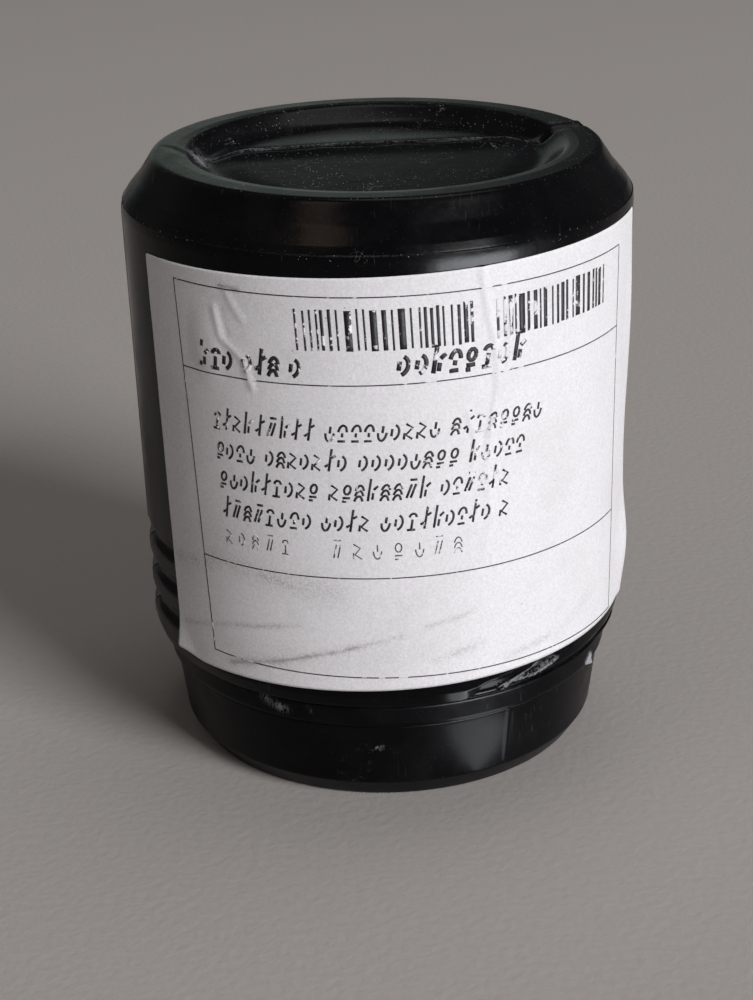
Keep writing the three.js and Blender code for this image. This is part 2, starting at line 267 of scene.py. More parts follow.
class Nodes:
    """Adds nodes to a node tree by short calls. An input is a number, a tuple or another node's output."""

    def __init__(self, tree):
        self.tree = tree

    def link(self, source, target):
        """Joins an output to an input, or sets it. A colour is given by three numbers."""
        if isinstance(source, bpy.types.NodeSocket):
            self.tree.links.new(source, target)
        elif isinstance(source, tuple) and target.type == "RGBA":
            target.default_value = (*source, 1)
        else:
            target.default_value = source

    def node(self, kind, **inputs):
        made = self.tree.nodes.new("ShaderNode" + kind)
        for name, source in inputs.items():
            self.link(source, made.inputs[name.replace("_", " ")])
        return made

    def between(self, value, low, high, to_low=0.0, to_high=1.0):
        """A soft step, from to_low where the value is low to to_high where it is high."""
        ends = {"From_Min": low, "From_Max": high, "To_Min": to_low, "To_Max": to_high}
        node = self.node("MapRange", Value=value, **ends)
        node.interpolation_type = "SMOOTHSTEP"
        return node.outputs["Result"]

    def math(self, operation, a, b=0.0):
        node = self.node("Math")
        node.operation = operation
        self.link(a, node.inputs[0])
        self.link(b, node.inputs[1])
        return node.outputs[0]

    def joined(self, operation, values):
        out = values[0]
        for value in values[1:]:
            out = self.math(operation, out, value)
        return out

    def product(self, *values):
        return self.joined("MULTIPLY", values)

    def total(self, *values):
        return self.joined("ADD", values)

    def most(self, *values):
        return self.joined("MAXIMUM", values)

    def mix(self, share, a, b):
        node = self.node("Mix", Factor=share)
        node.data_type = "RGBA"
        self.link(a, node.inputs[6])
        self.link(b, node.inputs[7])
        return node.outputs[2]

    def painted(self, tone, *layers):
        """The tone with each layer, a share and a colour, laid over it in turn."""
        for share, colour in layers:
            tone = self.mix(share, tone, colour)
        return tone


class Finish(Nodes):
    """A Principled material. Lengths in its textures are metres."""

    def __init__(self, name, **settings):
        self.material = bpy.data.materials.new(name)
        self.material.use_nodes = True
        super().__init__(self.material.node_tree)
        self.shader = self.tree.nodes["Principled BSDF"]
        for socket, value in settings.items():
            self.link(value, self.shader.inputs[socket.replace("_", " ")])
        self.place = self.node("TexCoord").outputs["Object"]

    def stretched(self, scale, turn=(0, 0, 0)):
        turn = [math.radians(degrees) for degrees in turn]
        return self.node("Mapping", Scale=scale, Rotation=turn, Vector=self.place).outputs["Vector"]

    def noise(self, scale, detail=2.0, rough=0.5, vector=None, distortion=0.0):
        node = self.node("TexNoise", Scale=scale, Detail=detail, Roughness=rough, Distortion=distortion)
        self.link(vector or self.place, node.inputs["Vector"])
        return node.outputs["Fac"]

    def cells(self, scale, output="Distance"):
        return self.node("TexVoronoi", Scale=scale, Vector=self.place).outputs[output]

    def marks(self, kind):
        """The amount of one kind of mark that the mesh carries at its vertices, such as wear, dirt and
        painted highlights.
        """
        node = self.node("Attribute")
        node.attribute_name = kind
        return node.outputs["Fac"]

    def upward(self, low, high):
        """1 where the surface faces up, 0 where it doesn't. low and high are heights of its normal."""
        normal = self.node("NewGeometry").outputs["Normal"]
        return self.between(self.node("SeparateXYZ", Vector=normal).outputs["Z"], low, high)

    def bump(self, height, distance):
        """Relief of that many metres. Calls stack on one another."""
        node = self.node("Bump", Distance=distance, Height=height)
        target = self.shader.inputs["Normal"]
        if target.is_linked:
            self.link(target.links[0].from_socket, node.inputs["Normal"])
        self.link(node.outputs["Normal"], target)

    def colour(self, value):
        self.link(value, self.shader.inputs["Base Color"])

    def roughness(self, value):
        self.link(value, self.shader.inputs["Roughness"])


def scratch_lines(finish, turns, fine, long, threshold):
    """A mask of thin straight scratches that run along a few directions."""
    masks = []
    for turn in turns:
        lines = finish.noise(1.0, 1.0, vector=finish.stretched((fine, long, long), turn))
        masks.append(finish.between(lines, threshold, threshold + 0.05))
    return finish.most(*masks)


def specks(finish, scale, size, amount):
    """A mask of small dots. amount is the share of the cells that hold one."""
    near = finish.between(finish.cells(scale), size, size * 0.5)
    chance = finish.node("SeparateColor", Color=finish.cells(scale, "Color")).outputs[0]
    return finish.product(near, finish.math("LESS_THAN", chance, amount))


def dust_mask(finish, amount):
    """Fine dust and curls of lint, thicker on faces that look up and where the mesh says."""
    thick = finish.total(finish.product(finish.upward(0.65, 0.98), 0.55), 0.05, finish.marks("dust"))
    patchy = finish.between(finish.noise(110, 4), 0.34, 0.58)
    dots = finish.most(
        specks(finish, 1300, 0.085, amount * 0.5),
        specks(finish, 2300, 0.13, amount * 0.8),
        finish.product(specks(finish, 620, 0.065, amount * 0.30), 0.8),
    )
    curls = finish.noise(620, 1.5, distortion=1.4)
    from_curl = finish.math("ABSOLUTE", finish.math("SUBTRACT", curls, 0.5))
    strands = finish.between(from_curl, 0.007, 0.003)
    lint = finish.product(strands, finish.between(finish.noise(330, 2), 0.62, 0.68), 0.55)
    return finish.product(finish.most(finish.product(dots, patchy), lint), thick)


def black_plastic(name, base_roughness, dust_amount):
    """Black polyethylene: a slight orange peel, handling scratches, scuffs, painted highlights, and dust
    where it faces up.
    """
    finish = Finish(name, IOR=1.5, Specular_IOR_Level=0.10)
    dust = dust_mask(finish, dust_amount)
    turns = ((0, 62, 12), (0, 75, 64), (0, 105, 40), (0, 84, 128))
    handled = finish.between(finish.noise(60, 3), 0.50, 0.7)
    scratched = finish.product(scratch_lines(finish, turns, 3000, 240, 0.72), handled)
    tears = finish.noise(1.0, 5, 0.75, finish.stretched((2600, 2600, 1100), (0, 20, 0)))
    scuff_and_glint = finish.marks("scuff_and_glint")
    rubbed = finish.product(finish.between(scuff_and_glint, 0.0, 1.0), finish.between(tears, 0.44, 0.58))
    # Marks above 1 are laid on as solid pale patches: the painted highlights on the run-out facets, the
    # painted glint on the pip, and the strongest part of the scuff at the left end of the scar.
    scuffs_and_glints = finish.most(rubbed, finish.product(finish.between(scuff_and_glint, 1.0, 1.6), 1.8))
    haze = finish.between(finish.noise(150, 6, 0.65), 0.4, 0.75)
    finish.colour(finish.painted(
        finish.mix(haze, (0.0014, 0.0014, 0.0020), (0.0030, 0.0030, 0.0036)),
        (finish.product(scuffs_and_glints, 0.55), (0.31, 0.30, 0.325)),
        (finish.most(finish.product(dust, 0.9), finish.product(scratched, 0.03)), (0.55, 0.54, 0.53)),
    ))
    finish.roughness(finish.total(
        finish.product(haze, 0.13),
        base_roughness,
        finish.product(scratched, 0.15),
        finish.product(scuffs_and_glints, 0.4),
        finish.product(dust, 0.5),
    ))
    finish.bump(finish.noise(420, 3), 0.00002)
    finish.bump(finish.noise(1900, 3), 0.000006)
    finish.bump(rubbed, 0.00002)
    return finish.material


def label_paper():
    """Matt label paper: flecked fibres, long smears of grime, clouds of fine dirt and small stains."""
    finish = Finish("label_paper", IOR=1.45, Specular_IOR_Level=0.3)
    fibre = finish.noise(3200, 6, 0.75)
    fleck = finish.between(finish.noise(5600, 3, 0.8), 0.54, 0.68)
    cloud = finish.noise(110, 5, 0.6)
    grainy = finish.between(finish.noise(4200, 4, 0.85), 0.40, 0.60)
    coarse = finish.between(finish.noise(420, 5, 0.7), 0.28, 0.55)
    rubbed = scratch_lines(finish, ((0, 20, 10), (0, 65, 40)), 1800, 160, 0.72)
    grime = finish.marks("grime")
    core = finish.between(grime, 0.45, 0.95)
    smeared = finish.most(finish.product(grime, grainy, 0.8), finish.product(core, 0.75))
    finish.colour(finish.painted(
        finish.mix(finish.between(fibre, 0.30, 0.70), (0.66, 0.645, 0.665), (0.81, 0.795, 0.82)),
        (finish.product(fleck, 0.16), (0.40, 0.385, 0.40)),
        (finish.product(finish.between(cloud, 0.45, 0.75), 0.20), (0.50, 0.48, 0.48)),
        (finish.product(rubbed, 0.12), (0.45, 0.43, 0.43)),
        (finish.product(finish.marks("cloud"), grainy, 0.50), (0.33, 0.31, 0.31)),
        (finish.product(smeared, coarse), (0.15, 0.125, 0.115)),
        (finish.product(specks(finish, 520, 0.07, 0.10), 0.6), (0.22, 0.18, 0.15)),
    ))
    finish.roughness(finish.between(fibre, 0.2, 0.8, 0.62, 0.82))
    finish.bump(fibre, 0.00003)
    finish.bump(cloud, 0.00006)
    return finish.material


def ink(name, shade, worn):
    """Thermal print: black that has rubbed off in flakes, most of all where the mesh says it is worn."""
    finish = Finish(name, IOR=1.45, Specular_IOR_Level=0.3)
    flakes = finish.total(finish.noise(900, 5, 0.65), finish.product(finish.marks("worn"), 0.17))
    kept = finish.product(
        finish.between(flakes, worn + 0.02, worn - 0.01),
        finish.between(finish.noise(75, 3), 0.74, 0.69),
    )
    grey = finish.between(finish.noise(2600, 4), 0.35, 0.7)
    tone = finish.mix(grey, (shade, shade, shade * 1.1), (shade * 2.2, shade * 2.2, shade * 2.3))
    finish.colour(finish.mix(kept, (0.68, 0.665, 0.69), tone))
    finish.roughness(finish.between(grey, 0.0, 1.0, 0.5, 0.75))
    return finish.material


def foam():
    """Charcoal open-cell foam with crushed pores, painted darker in the pores as shade."""
    finish = Finish("charcoal_foam", IOR=1.4, Sheen_Weight=0.35, Sheen_Roughness=0.6)
    pores = finish.cells(1900)
    large = finish.cells(700)
    # Painted shade: darker towards the middle of each pore, and a little lighter on the walls between the
    # larger ones.
    finish.colour(finish.painted(
        finish.mix(finish.between(pores, 0.1, 0.6), (0.012, 0.012, 0.013), (0.05, 0.052, 0.056)),
        (finish.between(large, 0.35, 0.6, 0.0, 0.5), (0.075, 0.077, 0.08)),
    ))
    finish.roughness(finish.between(pores, 0.0, 0.6, 0.85, 1.0))
    finish.bump(pores, 0.00025)
    finish.bump(large, 0.0002)
    return finish.material


def turned_metal(name, tone, dark_tone, roughness, metallic=1.0):
    """Metal with fine lathe lines round its axis and a few handling marks."""
    finish = Finish(name, Metallic=metallic)
    ringed = finish.noise(1.0, 2, vector=finish.stretched((40, 40, 9000)))
    smudge = finish.noise(130, 4)
    finish.colour(finish.mix(finish.between(smudge, 0.35, 0.7), tone, dark_tone))
    finish.roughness(finish.total(
        finish.between(ringed, 0.3, 0.7, 0.0, 0.10),
        roughness,
        finish.between(smudge, 0.45, 0.75, 0.0, 0.12),
    ))
    finish.bump(ringed, 0.000006)
    return finish.material


def bright_steel():
    finish = Finish("bright_steel", Metallic=1.0)
    grain = finish.noise(3500, 3)
    finish.colour(finish.mix(grain, (0.42, 0.43, 0.45), (0.60, 0.61, 0.62)))
    finish.roughness(finish.between(grain, 0.3, 0.7, 0.22, 0.38))
    return finish.material


def natural_nylon():
    finish = Finish("natural_nylon", IOR=1.53, Subsurface_Weight=0.1)
    cloud = finish.noise(500, 3)
    finish.colour(finish.mix(cloud, (0.70, 0.68, 0.60), (0.62, 0.60, 0.52)))
    finish.roughness(finish.between(cloud, 0.3, 0.7, 0.4, 0.55))
    return finish.material


def black_rubber():
    finish = Finish("black_rubber", IOR=1.5, Sheen_Weight=0.15, Sheen_Roughness=0.5)
    grain = finish.noise(2600, 4, 0.6)
    bloom = finish.between(finish.noise(120, 4), 0.45, 0.75)
    finish.colour(finish.mix(bloom, (0.010, 0.010, 0.011), (0.024, 0.024, 0.026)))
    finish.roughness(finish.between(grain, 0.3, 0.7, 0.58, 0.78))
    finish.bump(grain, 0.00004)
    return finish.material


def coated_glass():
    finish = Finish("coated_glass", IOR=1.6, Transmission_Weight=1.0)
    finish.colour(finish.mix(finish.noise(60, 2), (0.93, 0.97, 0.98), (0.96, 0.98, 0.95)))
    finish.roughness(finish.between(finish.noise(300, 4), 0.5, 0.8, 0.0, 0.03))
    return finish.material


def white_fill():
    """Paint in engraved marks."""
    finish = Finish("white_fill", IOR=1.45)
    chips = finish.between(finish.noise(1800, 3), 0.62, 0.68)
    finish.colour(finish.mix(chips, (0.75, 0.75, 0.72), (0.2, 0.2, 0.2)))
    finish.roughness(finish.between(chips, 0.0, 1.0, 0.45, 0.6))
    return finish.material


# Coats: each is a material and the name of a slot.
COVER_FINISH = black_plastic("cover_plastic", 0.18, 0.9), "black_plastic"
BASE_FINISH = black_plastic("base_plastic", 0.30, 0.35), "black_plastic"
PAPER = label_paper(), "paper"
PRINT = ink("print_black", 0.012, 0.62), "paper"
FAINT_PRINT = ink("print_grey", 0.05, 0.56), "paper"
FOAM = foam(), "foam"
CHROME = turned_metal("satin_chrome_plate", (0.63, 0.64, 0.66), (0.56, 0.57, 0.58), 0.16), "satin_chrome"
ANODISED = (
    turned_metal("black_anodising", (0.020, 0.021, 0.023), (0.028, 0.029, 0.031), 0.34, 0.55),
    "black_anodised",
)
BLACKED = (
    turned_metal("blacked_brass_finish", (0.022, 0.022, 0.023), (0.036, 0.033, 0.030), 0.48, 0.45),
    "blacked_brass",
)
STEEL = bright_steel(), "steel"
NYLON = natural_nylon(), "nylon"
RUBBER = black_rubber(), "rubber"
GLASS = coated_glass(), "glass"
WHITE = white_fill(), "black_anodised"

# ---- The canister -------------------------------------------------------------------------------


def cover_radius(height):
    """The radius of the cover's outside, which narrows a little toward its rim."""
    return COVER_RADIUS - SIDE_TAPER * (SHOULDER_Z - height)


def thread_form(height, angle, places, span, root, mouth):
    """1 on a thread ridge's crest or a groove's root, 0 away from it, with rounded flanks and ends."""
    end_fade = 5.0
    form = np.zeros_like(height)
    for middle, heights in places:
        turn = degrees_past(angle, middle)
        for at in heights:
            off = np.abs(height - at - THREAD["lead"] * turn / 360)
            left = span - np.abs(turn)
            narrowed = off + 0.10 * np.maximum(0.0, end_fade - left)
            flank = smooth((mouth - narrowed) / (mouth - root))
            form = np.maximum(form, flank * smooth(left / end_fade + 0.15))
    return form


def mould_lines(angle, part, width):
    """1 on the two upright lines where the halves of the mould met."""
    at = MOULD_LINES[part]
    return bell(degrees_past(angle, at), width) + bell(degrees_past(angle, at + 180), width)


def rim_run_out(height, angle):
    """The steep groove right of the front that leads the thread in through the rim."""
    at = degrees_past(angle, -90)
    upper = COVER_RIM + 2.24 + 0.104 * (at - 24.7)
    lower = COVER_RIM + 1.17 + 0.156 * (at - 35.3)
    return window(height, lower, 0.5, upper, 0.45) * window(at, 17, 6, 72, 6)


# Places on the top, as (x, y). The scar is the welded seam, which was trimmed by hand and wanders.
SCAR = (
    (-20.6, -0.6), (-18.5, 0.7), (-14.5, 1.9), (-8.2, 3.2), (-3.9, 3.9),
    (3.2, 4.4), (8.0, 4.7), (13.1, 5.2), (18.5, 6.0), (20.6, 6.4),
)
NOTCH = ((19.6, 5.6), (25.4, 7.6))
NOTCH_LIP = ((21.3, 8.0), (25.0, 9.0))
CREASE = ((-24.8, 1.0), (-20.7, -4.9))
TENT = 1.25  # how far the recess floor rises to the scar
TOP_RADIUS = 26.5  # where the top rolls over into the bevel
WALL_MIDDLE = 28.35  # parts the outside of the cover's wall from its inside

# Rubbed places at the ends of the scar, as (x, y) lines, with how strong and how wide each is.
TOP_SCUFFS = (
    (((-21.2, -0.6), (-19.9, -2.6)), 1.0, 0.9),
    (((-21, 2), (-20, -5)), 0.35, 1.0),
    (NOTCH_LIP, 0.5, 0.3),
)


def scar_offset(x, y):
    """Distance behind the scar and the share of the way along it."""
    across, back = np.array(SCAR).T
    off = y - np.interp(x, across, back)
    return off, (x - across[0]) / (across[-1] - across[0])


def top_scars(radius, angle):
    """The welded seam across the tented recess, with the notch and the crease where it meets the ring."""
    x, y = radius * np.cos(angle), radius * np.sin(angle)
    off, along = scar_offset(x, y)
    floor_share = smooth((21.6 - radius) / 6)
    tent = TENT * floor_share * (0.30 * bell(off, 2.2) + 0.70 * np.maximum(0, 1 - np.abs(off) / 21))
    off = off + 0.10 * np.sin(along * 31) + 0.05 * np.sin(along * 83 + 1)
    inside = window(along, 0.02, 0.05, 0.97, 0.06)
    uneven = 0.75 + 0.25 * np.sin(along * 37 + 2) * np.sin(along * 13)
    welt = 0.16 * bell(off - 0.30, 0.40) - 0.26 * bell(off + 0.40, 0.36)
    change = tent + inside * uneven * welt
    off, along = line_offset(x, y, *NOTCH)
    change = change - window(along, -0.15, 0.2, 1.05, 0.3) * 0.80 * bell(off, 0.75 - 0.35 * along)
    off, along = line_offset(x, y, *NOTCH_LIP)
    change = change + window(along, -0.05, 0.1, 1.05, 0.1) * 0.16 * bell(off, 0.28)
    off, along = line_offset(x, y, *CREASE)
    pinched = 0.03 * bell(off - 0.8, 0.5) - 0.05 * bell(off, 0.6)
    return change + window(along, -0.1, 0.2, 1.1, 0.25) * pinched


def cover_marks(vertices):
    """Where the cover has pale scuffs, painted highlights on its rim and run-out facets, and gathered dust.
    """
    x, y, z = np.array(vertices).T
    radius = np.hypot(x, y)
    at = np.degrees(np.arctan2(x, -y))
    on_top = (z > COVER_TOP - 3) & (radius < TOP_RADIUS)
    off, along = scar_offset(x, y)
    fuzzy = 0.60 * bell(off - 0.40, 0.42) + 0.30 * bell(off - 0.9, 1.1) * smooth((0.45 - along) / 0.3)
    top_scuff = window(along, -0.01, 0.03, 1.0, 0.05) * fuzzy
    for points, strength, width in TOP_SCUFFS:
        top_scuff = top_scuff + strength * near_line(x, y, points, width)
    far_left_wall = 0.11 * bell(radius - 20.8, 0.9) * smooth(y / 10) * smooth((6 - x) / 8)
    scuff_and_glint = np.where(on_top, top_scuff + far_left_wall, 0)
    step = bell(z - (SHOULDER_Z - 0.15), 0.10) * (radius > 29) * (0.08 + 0.16 * bell(wrapped(at + 5), 14))
    # Pale wear all round the rim's edge, made stronger right of the front by a painted highlight.
    rim = bell(z - (COVER_RIM + 0.12), 0.2) * (radius > 28.2) * (0.12 + 0.30 * bell(at - 22, 8))
    # Painted highlights: two solid pale streaks where the two facets of the run-out catch the window's
    # light.
    facet_highlights = 1.5 * near_line(at / 2, z, ((17.6, 15.07), (21.3, 16.21)), 0.22)
    facet_highlights = facet_highlights + 0.4 * near_line(at / 2, z, ((12.3, 16.14), (16.0, 16.91)), 0.18)
    gathered = bell(np.hypot(x + 4.0, (y + 10) * 1.3), 7) + 0.5 * bell(np.hypot(x + 9, y + 1), 6)
    far_wall = 0.7 * bell(radius - 20.5, 1.2) * smooth(y / 12)
    under_step = 0.6 * bell(z - (SHOULDER_Z - 0.3), 0.3) * (radius > 29)
    return {
        "scuff_and_glint": scuff_and_glint + step + rim + facet_highlights * (radius > 28.2),
        "dust": np.minimum(np.where(on_top, gathered + far_wall, 0) + under_step, 1),
    }


def cover_shape(radius, height, angle):
    """Cuts the grooves, the run-out and the scar into the turned cover and raises its mould lines."""
    outside = radius > WALL_MIDDLE
    wall = (height < SHOULDER_Z) & (radius > 27)
    groove = thread_form(height, angle, COVER_THREAD, COVER_SPAN, 0.35, 1.35)
    groove = np.maximum(groove, rim_run_out(height, angle))
    ridge = thread_form(height, angle, COVER_THREAD, BASE_SPAN, 0.5, 1.2)
    ridge = ridge * smooth((height - COVER_RIM - 0.3) / 0.8)
    outer_change = 0.07 * mould_lines(angle, "cover", 0.6) - THREAD["groove"] * groove
    radius = radius + np.where(wall & outside, outer_change, 0) - np.where(wall & ~outside, 0.95 * ridge, 0)
    top = (height > COVER_TOP - 3.3) & (radius < TOP_RADIUS)
    upper_face = top & (height > COVER_TOP - RECESS_DEPTH - 0.4)
    return radius, height + np.where(upper_face, top_scars(radius, angle), 0)


def canister_cover():
    top, floor = COVER_TOP, COVER_TOP - RECESS_DEPTH
    outline = [
        (0, floor), (19.5, floor, 3.0), (22.1, top - 0.12, 1.3), (23.5, top, 2.0), (26.05, top, 0.9),
        (27.75, top - 2.55, 5), (29.2, top - 4.25, 1.2), (29.66, top - 5.0, 0.3),
        (29.72, SHOULDER_Z - 0.12, 0.05), (29.88, SHOULDER_Z - 0.22, 0.1),
        (cover_radius(66.7), 66.7, 1.2), (cover_radius(THREAD_TOP), THREAD_TOP),
        (cover_radius(15.6), 15.6, 1.2), (28.75, COVER_RIM + 0.25, 0.4), (28.45, COVER_RIM, 0.1),
        (27.85, COVER_RIM, 0.3), (27.9, COVER_RIM + 0.8, 0.3), (27.93, THREAD_TOP),
        (28.0, SHOULDER_Z - 2.2, 2.0), (25.0, top - 1.75, 0.8), (23.5, top - 1.7, 0.5),
        (21.5, floor - 1.45, 0.8), (0, floor - 1.5),
    ]

    def spacing(radius, height):
        if radius > 27 and height < THREAD_TOP:
            return 0.38 if radius > 28.3 else 1.3
        if radius > 27 and height < SHOULDER_Z - 2:
            return 3.0
        if height > floor - 0.4 and radius < 27:
            # the scar is crossed lengthways near the middle, and the notch cuts the ring
            return 0.6 if 8 < radius < 18 else 0.32
        return 2.0

    angles = all_round((8, 10), (188, 190))
    vertices, faces = lathe(outline, spacing=spacing, shape=cover_shape, angles=angles)
    mesh_object(
        "cover_shell", vertices, faces, COVER_FINISH, "cover", "canister_cover",
        marks=cover_marks(vertices),
    )


BASE_RADIUS = 27
BAND_TOP = 13.8  # the cover hides the base above it


def base_shape(radius, height, angle):
    """Raises the thread ridges, the mould lines and the moulding pip on the turned base."""
    outer_neck = (radius > 25.7) & (height > 13.55) & (height < 34)
    ridge = thread_form(height, angle, BASE_THREAD, BASE_SPAN, 0.45, 1.0)
    radius = radius + np.where(outer_neck, THREAD["ridge"] * ridge, 0)
    lower_wall = (height > 2.0) & (height < 13.5) & (radius > 25.6)
    seam = 0.13 * mould_lines(angle, "base", 0.45) * window(height, 2.4, 0.6, 10.7, 0.3)
    pip = 0.55 * bell(degrees_past(angle, -27), 1.3) * bell(height - 10.9, 0.5)
    return radius + np.where(lower_wall, seam + pip, 0), height


def base_marks(vertices):
    """Where the base has pale scuffs: patches on the band, and the edges it stands and slides on; and a
    painted glint on the moulding pip.
    """
    x, y, z = np.array(vertices).T
    outside = (np.hypot(x, y) > 25.6) & (z < BAND_TOP)
    arc = np.arctan2(x, -y) * BASE_RADIUS
    band = 0.8 * near_line(arc, z, ((-15.2, 13.1), (-12.4, 12.0)), 0.6)
    band = band + 0.4 * near_line(arc, z, ((-9.6, 13.0), (-8.8, 12.2)), 0.25)
    # Painted glint: a solid pale spot on the moulding pip where it catches the light.
    pip = 3.0 * near_line(arc, z, ((29.3, 11.0), (30.1, 11.4)), 0.6)
    curl = near_line(arc, z, ((-1.8, 7.3), (-1.1, 7.9), (-0.8, 7.2)), 0.14)
    foot = 0.45 * bell(z - 1.3, 0.9)
    edge = 0.12 * bell(z - 10.7, 0.15) + 0.15 * bell(z - 13.5, 0.2)
    return {
        "scuff_and_glint": np.where(outside, band + pip + curl + foot + edge, 0),
        "dust": np.where(z < BAND_TOP, 0.05, 0),
    }


def canister_base():
    outline = [
        (0, 1.4), (20.4, 1.4, 0.6), (21.7, 0, 0.5), (24.3, 0, 0.9), (25.95, 2.5, 0.7),
        (26.95, 10.45, 0.15), (26.8, 10.55, 0.06), (26.85, 10.68, 0.06), (27.5, 10.85, 0.25),
        (27.6, 11.3, 0.3), (27.55, 13.3, 0.35), (26.9, 13.62, 0.2), (26.4, 13.75, 0.15),
        (26.4, 34.5, 0.4), (25.9, 35, 0.3), (25.3, 35, 0.2), (24.9, 34.5, 0.3), (24.9, 14.6, 1.0),
        (25.4, 10.6, 3.0), (24.75, 3.4, 1.5), (23.7, 1.5, 0.8), (22.5, 1.5, 0.5), (21.4, 2.9, 0.5),
        (0, 2.9),
    ]

    def spacing(radius, height):
        return 0.34 if radius > 25.7 and height < 30 else 2.4

    angles = all_round((120, 123), (300, 303), (330, 338))
    vertices, faces = lathe(outline, spacing=spacing, shape=base_shape, angles=angles)
    mesh_object(
        "base_shell", vertices, faces, BASE_FINISH, "base", "canister_base",
        marks=base_marks(vertices),
    )


# ---- The label ----------------------------------------------------------------------------------


# Creases in the label, as (s, t) places, with how high each stands and how wide it is.
FOLD = (
    (7.1, 49), (7.5, 45), (8.4, 40.4), (8.7, 36.9), (8.4, 34.1), (7.5, 30.3), (7.1, 25.6), (7.5, 19.6),
    (6.2, 15),
)
CREASES = (
    (FOLD[:6], 0.18, 0.42),
    (FOLD[5:], 0.10, 0.6),
    (((10.4, 44), (10.0, 39), (9.2, 35.5)), 0.16, 0.35),
    (((5.0, 33), (6.0, 29), (5.2, 25)), 0.10, 0.4),
    (((-23.2, 44.8), (-22.5, 41.6), (-19.9, 39.5), (-18.9, 36.3)), 0.14, 0.45),
    (((-21.4, 47.0), (-20.6, 45.4), (-19.6, 44.0)), 0.08, 0.45),
)


def label_relief(s, t):
    """How far the label stands off the cover, for a place s right of its middle and t above its foot."""
    relief = 0.06 + 0.02 * np.sin(s * 0.21 + 1) * np.sin(t * 0.17)
    for points, rise, width in CREASES:
        relief += rise * near_line(s, t, points, width)
    relief += 0.20 * smooth(1.25 - np.hypot((s + 24.8) / 2.6, (t - 40.5) / 4.6))
    corner = np.maximum(0, 1 - ((s + 35) + 0.8 * t) / 4.2)
    relief += 0.75 * corner**1.4
    relief += 0.28 * smooth((s - 32.4) / 2.6) * (0.5 + 0.5 * np.sin(t * 0.21 + 0.4))
    relief += 0.50 * smooth(1 - np.hypot(s - 35, (t - 7) * 0.55) / 4.5)
    return np.maximum(relief, 0.03)


def label_point(s, t, lift=0.0):
    """A point of the label's outer face, raised by lift."""
    across = s - LABEL["tilt"] * (t - LABEL["height"] / 2)
    z = LABEL["middle_z"] + (t - LABEL["height"] / 2) + LABEL["tilt"] * s
    angle = math.radians(LABEL["middle_angle"]) + across / COVER_RADIUS
    radius = cover_radius(z) + label_relief(s, t) + LABEL["thickness"] + lift
    return np.stack((radius * np.cos(angle), radius * np.sin(angle), z), axis=-1)


# Dirt on the label, as (arc to the right of the front, height) places, with how strong and how wide it is.
SMEARS = (
    (((-28.2, 20.2), (-19.7, 22.6)), 0.6, 0.35),
    (((-19.7, 22.6), (-15.7, 23.3), (-12.6, 23.9)), 0.7, 0.34),
    (((-12.6, 23.9), (-10.1, 24.4)), 0.6, 0.22),
    (((-20.0, 17.6), (-15.1, 18.8), (-12.2, 19.6)), 0.8, 0.60),
    (((-12.6, 19.5), (-9.1, 20.6), (-6.7, 21.2), (-3.5, 22.2)), 0.85, 0.40),
    (((-3.5, 22.2), (1.7, 23.5)), 0.6, 0.32),
    (((4.5, 24.5), (10.5, 25.8)), 0.5, 0.30),
    (((5.7, 20.2), (11.2, 21.5)), 0.55, 0.45),
    (((-29.0, 28.8), (-22.9, 29.4)), 0.5, 0.9),
    (((-18.3, 63.6), (-15.9, 63.5)), 0.9, 0.35),
    (((-17.9, 61.0), (-17.3, 57.7), (-14.7, 55.7), (-13.8, 52.5)), 0.35, 0.35),
    (((-14.9, 29.9), (-11.0, 29.2)), 0.5, 0.35),
    (((14.5, 19.0), (20.5, 19.9)), 0.5, 0.5),
)
CLOUDS = (
    (((-22.0, 30.9), (-14.0, 30.0), (-6.0, 28.9)), 0.9, 1.9),
    (((-28.0, 50.0), (-27.0, 28.0)), 0.5, 4.0),
    (((-26.0, 34.0), (-14.0, 32.0)), 0.45, 4.0),
    (((-20.0, 19.0), (4.0, 21.0)), 0.35, 2.2),
    (((22.0, 19.5), (28.0, 22.5)), 0.45, 0.9),
    (((-20.0, 64.0), (-12.0, 62.0)), 0.35, 2.5),
)
# Places where the print has rubbed off.
WORN = (
    (((11.6, 66.3), (13.0, 57.4), (13.3, 54.0), (13.0, 51.2), (12.1, 47.3), (11.7, 42.6)), 0.8, 2.4),
    (((-18.5, 60.9), (-17.7, 57.7), (-15.1, 55.7), (-14.2, 52.5)), 0.7, 1.2),
    (((-20.5, 48.6), (-18.6, 46.5)), 0.8, 1.1),
    (((-10.5, 61.5), (-6.5, 57.5)), 0.8, 1.3),
    (((-4.2, 62.0), (-2.5, 57.0)), 0.5, 1.0),
    (((5.0, 55.0), (6.0, 53.0)), 0.8, 1.0),
    (((16.0, 54.5), (17.5, 60.0)), 0.5, 1.3),
    (((-19.8, 17.9), (-16.9, 17.9)), 1.7, 0.55),
    (((-0.9, 18.2), (-0.3, 18.2)), 1.7, 0.3),
    (((1.1, 18.3), (2.2, 18.3)), 1.7, 0.3),
)


def unrolled(vertices):
    """Arc to the right of the front and height, in millimetres, for points near the cover's wall."""
    x, y, z = np.array(vertices).T
    return np.arctan2(x, -y) * COVER_RADIUS, z


def strongest(arc, z, places):
    """The most that any of the (points, strength, width) places gives at each point."""
    amount = np.zeros_like(arc)
    for points, strength, width in places:
        amount = np.maximum(amount, strength * near_line(arc, z, points, width))
    return amount


def label_marks(vertices):
    arc, z = unrolled(vertices)
    return {"grime": strongest(arc, z, SMEARS), "cloud": strongest(arc, z, CLOUDS)}


